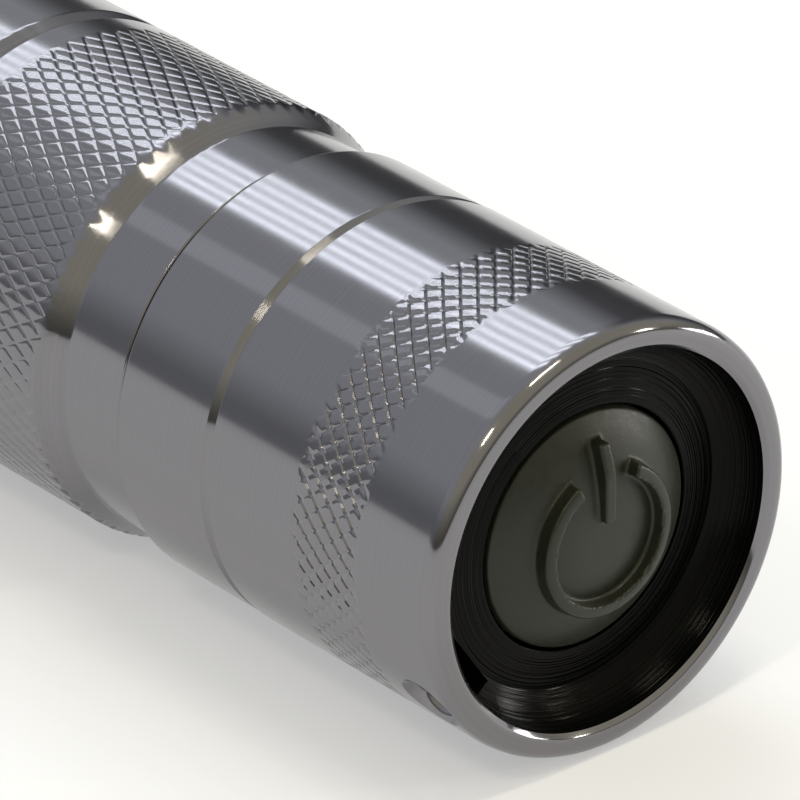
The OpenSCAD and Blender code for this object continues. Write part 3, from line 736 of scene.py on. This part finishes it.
class TORCH_OT_boot(bpy.types.Operator):
    """Builds the rubber button as one skin: crown with raised sign, folding wall and skirt"""

    bl_idname = "torch.boot"
    bl_label = "Rubber button"

    def execute(self, context):
        sizes = context.scene.torch_sizes
        middle, width = sizes.sign_radius / MM, sizes.sign_width / MM
        crown = [(crown_station(BOOT_R * i / 16), BOOT_R * i / 16, 0) for i in range(17)]
        shell = turned([
            *crown,
            (3.6, BOOT_R, 0),
            (4.2, BOOT_R - 0.1, 0.2),
            (5.0, 7.2, 0.1),
            (5.0, 8.7, 0.15),
            (5.9, 8.7, 0.15),
            (5.9, 7.3, 0.15),
            (5.2, 6.4, 0.2),
            (4.2, 5.75, 0.2),
            (2.6, 5.68, 0.3),
            (2.34, 4.0, 0),
            (2.34, 0, 0),
        ], 160)
        ring = bmesh.new()
        outline = [
            (sign_station(middle - width / 2), middle - width / 2),
            (sign_station(middle), middle),
            (sign_station(middle + width / 2), middle + width / 2),
            (SIGN_FOOT, middle + width / 2),
            (SIGN_FOOT, middle - width / 2),
        ]
        face = ring.faces.new([ring.verts.new(around(*corner)) for corner in outline])
        start = Matrix.Rotation(sizes.sign_gap, 4, "Y")
        centre = Matrix.Translation((0, 0, AXIS_Z))
        bmesh.ops.transform(ring, matrix=centre @ start @ centre.inverted(), verts=ring.verts)
        spun(ring, [face, *face.edges, *face.verts], math.tau - 2 * sizes.sign_gap, 120)
        bmesh.ops.recalc_face_normals(ring, faces=ring.faces)
        bar = bmesh.new()
        bmesh.ops.create_cube(bar, size=1)
        long_edges = [e for e in bar.edges if abs(e.verts[0].co.z - e.verts[1].co.z) > 0.5]
        bmesh.ops.subdivide_edges(bar, edges=long_edges, cuts=15, use_grid_fill=True)
        for v in bar.verts:
            out = 1.2 + (v.co.z + 0.5) * 4.5
            top = sign_station(out) if v.co.y < 0 else SIGN_FOOT
            v.co = Vector((v.co.x * width * MM, at(top), AXIS_Z + out * MM))
        bmesh.ops.recalc_face_normals(bar, faces=bar.faces)
        whole = joined(shell, ring, bar)
        bmesh.ops.transform(whole, matrix=Matrix.Scale(1 / MM, 4), verts=whole.verts)
        work = loose(whole, "boot_work")
        applied(work, "REMESH", mode="VOXEL", voxel_size=0.1)
        skin = as_bmesh(work)
        for _ in range(2):
            bmesh.ops.smooth_vert(
                skin, verts=skin.verts, factor=0.5, use_axis_x=True, use_axis_y=True,
                use_axis_z=True)
        bmesh.ops.transform(skin, matrix=Matrix.Scale(MM, 4), verts=skin.verts)
        boot = piece(
            "rubber_boot", skin, ["moulded_silicone_rubber"], None,
            ["boot_crown", "boot_skirt"], sharp=180)
        boot.modifiers.clear()
        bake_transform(boot)
        return {"FINISHED"}


# Tube


def cone_r(station, first, last):
    """Radius of a shoulder that rises from the neck to the grip between two stations."""
    share = min(1, max(0, (station - first) / (last - first)))
    return NECK_R + (GRIP_R - NECK_R) * share


# Stations of the tube's knurls and of the necks' ends, where the shoulders start
TAIL_KNURL = (32.25, 45.55)
FRONT_KNURL = (62.95, 76.25)
TAIL_SHOULDER = 31.6
FRONT_SHOULDER = 76.9


def band_limit(way, shoulder, fade_from, plain_from):
    """Cuts a knurl off along its shoulder, and lets it run out there and before the ring."""
    def limit(station, _angle, radius):
        """Radius of the knurl at a station, once it is cut off."""
        room = way * (plain_from - station) - 0.1
        fade = way * (station - fade_from)
        share = min(1, max(0, room / 0.3), max(0, fade / 0.5))
        cone = cone_r(station, shoulder, shoulder + way * CONE_LEN)
        return min(GRIP_R - (GRIP_R - radius) * share, cone)
    return limit


class TORCH_OT_battery_tube(bpy.types.Operator):
    """Builds the battery tube: threads, seal grooves, necks, shoulders, knurled grips and rings"""

    bl_idname = "torch.battery_tube"
    bl_label = "Battery tube"

    def execute(self, context):
        sizes = context.scene.torch_sizes
        groove_r = GRIP_R - 0.55
        slot_r = NECK_R + 0.05
        cone_at = cone_r(TAIL_KNURL[0], TAIL_SHOULDER, TAIL_SHOULDER + CONE_LEN)
        outline = [
            (TUBE_START, BORE_R, 0.1),
            (TUBE_START, 10.4, 0.05),
            (TUBE_START + 0.3, ROOT_R, 0.05),
            (23.05, ROOT_R, 0),
            (23.05, LAND_R, 0.08),
            (23.9, LAND_R, 0.05),
            (23.9, LAND_R - 1, 0.05),
            (25.7, LAND_R - 1, 0.05),
            (25.7, LAND_R, 0.05),
            (26.73, LAND_R, 0),
            (26.73, NECK_R - 0.35, 0),
            (26.93, NECK_R - 0.35, 0),
            (26.93, NECK_R - 0.07, 0),
            (27.0, NECK_R, 0.02),
            (TAIL_SHOULDER, NECK_R, 0.08),
            (TAIL_KNURL[0], cone_at, 0),
            (TAIL_KNURL[0], slot_r, 0),
            (TAIL_KNURL[1], slot_r, 0),
            (TAIL_KNURL[1], GRIP_R, 0),
            (47.3, GRIP_R, 0.08),
            (47.3, groove_r, 0.06),
            (48.6, GRIP_R, 0.12),
            (59.9, GRIP_R, 0.12),
            (61.2, groove_r, 0.06),
            (61.2, GRIP_R, 0.08),
            (FRONT_KNURL[0], GRIP_R, 0),
            (FRONT_KNURL[0], slot_r, 0),
            (FRONT_KNURL[1], slot_r, 0),
            (FRONT_KNURL[1], cone_at, 0),
            (FRONT_SHOULDER, NECK_R, 0.08),
            (81.4, NECK_R, 0.06),
            (81.4, LAND_R, 0),
            (82.8, LAND_R, 0.05),
            (82.8, LAND_R - 1, 0.05),
            (84.6, LAND_R - 1, 0.05),
            (84.6, LAND_R, 0.05),
            (85.35, LAND_R, 0.08),
            (85.35, ROOT_R, 0),
            (TUBE_END - 0.3, ROOT_R, 0.05),
            (TUBE_END, 10.4, 0.05),
            (TUBE_END, BORE_R, 0.1),
        ]
        lines = [0, 0.08, 0.2, 0.8, 0.92, 1]
        count, pitch = sizes.grip_knurl_count, sizes.grip_knurl_pitch / MM
        depth = sizes.grip_knurl_depth / MM
        limits = {
            TAIL_KNURL: band_limit(1, TAIL_SHOULDER, 33.0, TAIL_KNURL[1]),
            FRONT_KNURL: band_limit(-1, FRONT_SHOULDER, 75.5, FRONT_KNURL[0]),
        }
        bands = [
            knurl(
                count, pitch, *span, GRIP_R, depth, lines, lambda u, w: pillow(u) * pillow(w),
                limit, slot_r + 0.03)
            for span, limit in limits.items()]
        rise = sizes.thread_pitch / MM
        threads = [ridge(first, 4, rise, ROOT_R - 0.1, THREAD_R) for first in (17.7, 86.2)]
        piece(
            "battery_tube_turned", joined(turned(outline), *bands, *threads),
            ["anodised_turned_aluminium"], "tube", ["battery_tube"])
        return {"FINISHED"}


class TORCH_OT_seals(bpy.types.Operator):
    """Builds the two O-rings in the tube's grooves and the one under the bezel"""

    bl_idname = "torch.seals"
    bl_label = "Seals"

    def execute(self, context):
        for node, body in (
                ("tail_o_ring", "tube"), ("head_o_ring", "tube"), ("lens_o_ring", "head")):
            bm = bmesh.new()
            outer = radius_of(node)
            inner = LENS_R - 0.8 if node == "lens_o_ring" else LAND_R - 0.95
            half_w, half_l = (outer - inner) / 2, (ends(node) - starts(node)) / 2
            ring = bmesh.ops.create_circle(bm, segments=32, radius=MM)["verts"]
            shape = Matrix.Diagonal((1, half_l, half_w, 1)) @ ON_EDGE
            place = Matrix.Translation(around(starts(node) + half_l, inner + half_w))
            bmesh.ops.transform(bm, matrix=place @ shape, verts=ring)
            spun(bm, bm.verts[:] + bm.edges[:], math.tau, STEPS, use_merge=True)
            bmesh.ops.recalc_face_normals(bm, faces=bm.faces)
            piece(
                node + "_moulded", bm, ["greased_nitrile_rubber"], body, [node],
                sharp=60)
        return {"FINISHED"}


class TORCH_OT_springs(bpy.types.Operator):
    """Builds the three coil springs as wound round wire"""

    bl_idname = "torch.springs"
    bl_label = "Springs"

    def execute(self, context):
        for node, body, wire, start_r, end_r, turns in (
                ("tail_spring", "tail_contact", 0.4, 5.6, 3.6, 5.5),
                ("head_spring", "head_contact", 0.25, 2.6, 2.6, 2)):
            bm = coil(starts(node), ends(node), wire, start_r, end_r, turns)
            piece(
                node + "_wound", bm, ["drawn_spring_steel"], body, [node],
                sharp=60)
        node, wire = "switch_return_spring", 0.2
        middle = radius_of(node) - wire
        bm = coil(starts(node), ends(node), wire, middle, middle, 3.5)
        spring = piece(
            node + "_wound", bm, ["drawn_spring_steel"], None, [node], sharp=60)
        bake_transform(spring)
        return {"FINISHED"}


# Head


class TORCH_OT_head_shell(bpy.types.Operator):
    """Builds the head: cooling grooves, smooth barrel and the six-sided anti-roll collar"""

    bl_idname = "torch.head_shell"
    bl_label = "Head shell"

    def execute(self, context):
        outline = [
            (HEAD_START, SEAL_R, 0.1),
            (86.2, SEAL_R, 0),
            (86.2, SOCKET_R, 0),
            (91.2, SOCKET_R, 0),
            (91.2, 9.8, 0.1),
            (92.5, 9.8, 0.1),
            (92.5, 11.2, 0),
            (117.35, 11.2, 0),
            (117.35, 11.5, 0),
            (120.25, 11.5, 0),
            (120.25, 11.9, 0),
            (HEAD_END, 11.9, 0.08),
            (HEAD_END, GRIP_R, 0.25),
        ]
        for i in reversed(range(5)):
            groove = 88.5 + 2.6 * i
            outline += [
                (groove + 1.3, GRIP_R, 0.14),
                (groove + 1.3, GRIP_R - 0.8, 0.2),
                (groove, GRIP_R - 0.8, 0.2),
                (groove, GRIP_R, 0.14),
            ]
        outline.append((HEAD_START, GRIP_R, 0.25))
        collar = turned([
            (105.3, 12.3, 0),
            (105.3, 12.7, 0.05),
            (106.5, COLLAR_R, 0.25),
            (112.1, COLLAR_R, 0.25),
            (113.3, 12.7, 0.05),
            (113.3, 12.3, 0),
        ])
        for side in range(6):
            turn = math.radians(30 + 60 * side)
            way = Vector((math.cos(turn), 0, math.sin(turn)))
            cut = bmesh.ops.bisect_plane(
                collar, geom=all_of(collar), dist=0.0005 * MM, plane_no=way, clear_outer=True,
                plane_co=Vector((0, 0, AXIS_Z)) + way * GRIP_R * MM)["geom_cut"]
            edges = [e for e in cut if isinstance(e, bmesh.types.BMEdge)]
            bmesh.ops.holes_fill(collar, edges=edges, sides=0)
        bmesh.ops.recalc_face_normals(collar, faces=collar.faces)
        piece(
            "head_shell_turned", joined(turned(outline), collar), ["anodised_turned_aluminium"],
            "head", ["head_shell"])
        return {"FINISHED"}


class TORCH_OT_light_unit(bpy.types.Operator):
    """Builds the mirror-bright reflector and the clear dome of the diode"""

    bl_idname = "torch.light_unit"
    bl_label = "Light unit"

    def execute(self, context):
        eye_r, mouth_r, wall, flange = 3.2, 10.6, 1, 1.5
        length = REFLECTOR_END - REFLECTOR_START
        slope = (mouth_r ** 2 - eye_r ** 2) / length

        def bowl_r(depth):
            """Radius of the mirror's curve at a depth, both in mm."""
            return math.sqrt(eye_r ** 2 + slope * depth)

        inner = [length * (i / 40) ** 1.6 for i in range(41)]
        outer = [(length - flange) * i / 12 for i in reversed(range(13))]
        mirror = turned([
            *[(REFLECTOR_START + depth, bowl_r(depth), 0) for depth in inner],
            (REFLECTOR_END, REFLECTOR_R, 0.1),
            (REFLECTOR_END - flange, REFLECTOR_R, 0.1),
            *[(REFLECTOR_START + depth, min(bowl_r(depth) + wall, REFLECTOR_R), 0)
              for depth in outer],
        ])
        piece(
            "reflector_spun", mirror, ["vapour_coated_mirror"], "head", ["reflector"])
        base, dome_r = starts("led_dome"), radius_of("led_dome")
        turns = [math.radians(90 - i * 6) for i in range(16)]
        dome = turned([
            *[(base + dome_r * math.sin(a), dome_r * math.cos(a), 0) for a in turns],
            (base, 0, 0),
        ], 64)
        piece("led_dome_cast", dome, ["clear_cast_silicone"], "head", ["led_dome"])
        return {"FINISHED"}


class TORCH_OT_front(bpy.types.Operator):
    """Builds the coated glass and the turned bezel ring"""

    bl_idname = "torch.front"
    bl_label = "Front"

    def execute(self, context):
        glass = turned([
            (LENS_START, 0, 0),
            (LENS_START, LENS_R, 0.2),
            (LENS_START + 2, LENS_R, 0.2),
            (LENS_START + 2, 0, 0),
        ])
        piece(
            "front_glass", glass, ["coated_toughened_glass"], "head", ["glass_lens"])
        ring = turned([
            (BEZEL_START, 10.2, 0.1),
            (BEZEL_START, 11.8, 0.15),
            (122.45, 11.8, 0),
            (122.45, BEZEL_R, 0.12),
            (TOTAL_LEN - 0.3, BEZEL_R, 0.12),
            (TOTAL_LEN, BEZEL_R - 0.3, 0.12),
            (TOTAL_LEN, 11.27, 0.1),
            (TOTAL_LEN - 1.07, 10.2, 0.15),
        ])
        piece("bezel_turned", ring, ["turned_stainless_steel"], "head", ["bezel_ring"])
        return {"FINISHED"}


CARRIED = {
    "boot_washer": "turned_stainless_steel",
    "switch_case": "moulded_black_nylon",
    "switch_plunger": "moulded_white_acetal",
    "switch_terminals": "turned_brass",
    "switch_board": "green_glass_fibre_board",
    "switch_retaining_ring": "turned_brass",
    "battery_cell": "shrunk_vinyl_film",
    "battery_positive_end": "turned_stainless_steel",
    "battery_insulator_ring": "moulded_white_acetal",
    "brass_pill": "turned_brass",
    "driver_board": "green_glass_fibre_board",
    "driver_coil": "sintered_ferrite",
    "driver_chips": "moulded_black_nylon",
    "led_wires": "silicone_wire_cover",
    "led_board": "white_solder_mask",
    "led_package": "phosphor_layer",
    "led_centring_ring": "moulded_white_acetal",
}


class TORCH_OT_inner_parts(bpy.types.Operator):
    """Gives the inner parts, whose solids are kept as they are, their finishes"""

    bl_idname = "torch.inner_parts"
    bl_label = "Inner parts"

    def execute(self, context):
        for node, finish in CARRIED.items():
            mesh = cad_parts[node].data
            mesh.materials.clear()
            mesh.materials.append(FINISHES[finish])
        return {"FINISHED"}


# Studio

CAMERA_RIGHT = Vector((0.7616, -0.6481, 0))
CAMERA_UP = Vector((0.3073, 0.3610, 0.8805))
CAMERA_BACK = Vector((-0.5707, -0.6706, 0.4741))
CAMERA_FROM_RIM = Vector((-0.2842, -0.3165, 0.2376))
UP = (0, 0, 1)
WARM = (1.0, 0.92, 0.74)
COOL = (0.9, 0.95, 1.0)
AIM_AT = 6
SLAT_LENGTH = 0.8
FLOOR_LIFT = 0.35

# Lamps by name: way, distance, width, height, radiance, colour and which way is up
LAMPS = {
    "warm_top": ((0.005, -0.162, 0.985), 0.9, 0.26, 0.06, 30, WARM, AXIS),
    "warm_side": ((-0.58, -0.23, 0.78), 0.9, 0.12, 0.06, 42, WARM, AXIS),
    "warm_right": ((0.72, -0.64, 0.27), 0.9, 0.07, 0.07, 45, (1.0, 0.93, 0.78), UP),
    "right_window": ((0.92, -0.38, 0.08), 1.2, 0.4, 0.14, 16, (1.0, 0.98, 0.95), UP),
}

# Slats by name: elevation of the facet that mirrors them, distance, width and radiance
SLATS = {
    "slat_0": (80.9, 0.7, 0.03, 3.9),
    "slat_1": (77.4, 0.7, 0.03, 3.9),
    "slat_2": (74.1, 0.7, 0.03, 3.9),
    "slat_3": (70.9, 0.7, 0.03, 3.9),
    "slat_4": (67.9, 0.7, 0.03, 3.9),
    "window": (74.4, 0.8, 0.46, 1.1),
    "window_edge": (54, 0.8, 0.17, 0.3),
}


def facing(x, y, z, place):
    """A matrix that stands at a place with the given axes."""
    return Matrix.Translation(place) @ Matrix((x, y, z)).transposed().to_4x4()


def lamp(name, way, distance, size, size_y, radiance, colour, upright):
    """An area lamp that looks back at the rim from a direction, given by how bright its face is."""
    light = bpy.data.lights.new(name, "AREA")
    light.shape = "RECTANGLE"
    light.size, light.size_y = size, size_y
    light.energy = radiance * math.pi * size * size_y
    light.color = colour
    obj = linked(name, light)
    z = Vector(way).normalized()
    x = Vector(upright).cross(z).normalized()
    obj.matrix_world = facing(x, z.cross(x), z, around(AIM_AT, 0) + Vector(way) * distance)
    return obj


def slat(name, elevation, distance, width, radiance):
    """A long lamp beside the light, where the tube mirrors it as a streak to the camera."""
    a = math.radians(elevation)
    normal = Vector((-math.cos(a), 0, math.sin(a)))
    seen = 2 * normal.dot(CAMERA_BACK) * normal - CAMERA_BACK
    across = Vector((seen.x, 0, seen.z))
    way = across.normalized() + Vector((0, seen.y / across.length, 0))
    obj = lamp(name, way, distance, width, SLAT_LENGTH, radiance, COOL, AXIS)
    y, z = Vector(AXIS), across.normalized()
    obj.matrix_world = facing(y.cross(z), y, z, obj.matrix_world.translation)


def lay_floor(colour):
    """A pale floor that takes the light's shadow, and is a little brighter to the camera."""
    tree, shader = new_finish("pale_floor", colour, 0.0, 0.6)
    rays = add_node(tree, "ShaderNodeLightPath").outputs
    seen = maths(tree, "MAXIMUM", rays["Is Camera Ray"], rays["Is Glossy Ray"])
    seen = maths(tree, "MAXIMUM", seen, rays["Is Transmission Ray"])
    shader.inputs["Emission Color"].default_value = (1, 1, 1, 1)
    lift = spread(tree, seen, 0, 1, 0, FLOOR_LIFT)
    tree.links.new(lift, shader.inputs["Emission Strength"])
    tinted(tree, shader, grain(tree, 0.2), shade(colour, 0.98), colour)
    bm = bmesh.new()
    bmesh.ops.create_grid(bm, x_segments=8, y_segments=8, size=3)
    floor = loose(bm, "floor")
    floor.data.materials.append(FINISHES["pale_floor"])


def paint_room(scene):
    """A dim room: what cylinders mirror on its far side, and what rings and cones do near."""
    world = bpy.data.worlds.new("Dim room")
    scene.world = world
    world.use_nodes = True
    tree = world.node_tree
    room = tree.nodes["Background"]
    way = add_node(tree, "ShaderNodeTexCoord").outputs["Generated"]
    parts = add_node(tree, "ShaderNodeSeparateXYZ", None, {"Vector": way}).outputs
    height = spread(tree, parts["Z"], 0.12, 0.35, 0.38, 0.75)
    right = spread(tree, parts["X"], 0.56, 0.69, 1.0, 0.25)
    near = spread(tree, parts["Z"], 0.0, 0.4, 0.12, 0.72)
    far = maths(tree, "MULTIPLY", height, right)
    level = add_node(
        tree, "ShaderNodeMapRange", {"From Min": 0.1, "From Max": 0.45},
        {"Value": parts["Y"], "To Min": near, "To Max": far})
    side = spread(tree, parts["Y"], -0.5, 0.7, 0, 1)
    warm, cool = (1.0, 0.95, 0.76, 1), (0.93, 0.96, 1.0, 1)
    tree.links.new(mixed(tree, side, warm, cool), room.inputs["Color"])
    tree.links.new(level.outputs["Result"], room.inputs["Strength"])


def set_camera(scene):
    """The camera, as fitted to the picture."""
    camera = bpy.data.cameras.new("Camera")
    camera.lens = scene.torch_sizes.lens_length
    camera.sensor_width = 36
    camera.clip_start = 0.01
    camera.clip_end = 20
    obj = linked("Camera", camera)
    place = around(0, 0) + CAMERA_FROM_RIM
    obj.matrix_world = facing(CAMERA_RIGHT, CAMERA_UP, CAMERA_BACK, place)
    scene.camera = obj


class TORCH_OT_stage(bpy.types.Operator):
    """Sets up the floor, the lamps, the dim room and the camera at the picture's angle"""

    bl_idname = "torch.stage"
    bl_label = "Studio"

    def execute(self, context):
        scene = context.scene
        scene.view_settings.view_transform = "Standard"
        lay_floor(tuple(scene.torch_colours.floor))
        for name, values in SLATS.items():
            slat(name, *values)
        for name, values in LAMPS.items():
            lamp(name, *values)
        paint_room(scene)
        set_camera(scene)
        return {"FINISHED"}


class TORCH_PT_panel(bpy.types.Panel):
    """Lists the steps that build the light"""

    bl_idname = "TORCH_PT_panel"
    bl_label = "Tube light"
    bl_space_type = "VIEW_3D"
    bl_region_type = "UI"
    bl_category = "Tube light"

    def draw(self, context):
        for group in (context.scene.torch_sizes, context.scene.torch_colours):
            for key in group.__annotations__:
                self.layout.prop(group, key)
        for operator in OPERATORS:
            self.layout.operator(operator.bl_idname)


OPERATORS = (
    TORCH_OT_tail_cap, TORCH_OT_boot, TORCH_OT_battery_tube, TORCH_OT_seals,
    TORCH_OT_springs, TORCH_OT_head_shell, TORCH_OT_light_unit, TORCH_OT_front,
    TORCH_OT_inner_parts, TORCH_OT_stage,
)
CLASSES = (TorchSizes, TorchColours, *OPERATORS, TORCH_PT_panel)


def register():
    for cls in CLASSES:
        bpy.utils.register_class(cls)
    bpy.types.Scene.torch_sizes = bpy.props.PointerProperty(type=TorchSizes)
    bpy.types.Scene.torch_colours = bpy.props.PointerProperty(type=TorchColours)


def unregister():
    del bpy.types.Scene.torch_sizes
    del bpy.types.Scene.torch_colours
    for cls in reversed(CLASSES):
        bpy.utils.unregister_class(cls)


def main():
    """Builds the whole scene."""
    register()
    make_finishes(bpy.context.scene.torch_sizes, bpy.context.scene.torch_colours)
    bpy.ops.torch.tail_cap()
    bpy.ops.torch.boot()
    bpy.ops.torch.battery_tube()
    bpy.ops.torch.seals()
    bpy.ops.torch.springs()
    bpy.ops.torch.head_shell()
    bpy.ops.torch.light_unit()
    bpy.ops.torch.front()
    bpy.ops.torch.inner_parts()
    bpy.ops.torch.stage()


if __name__ == "__main__":
    main()
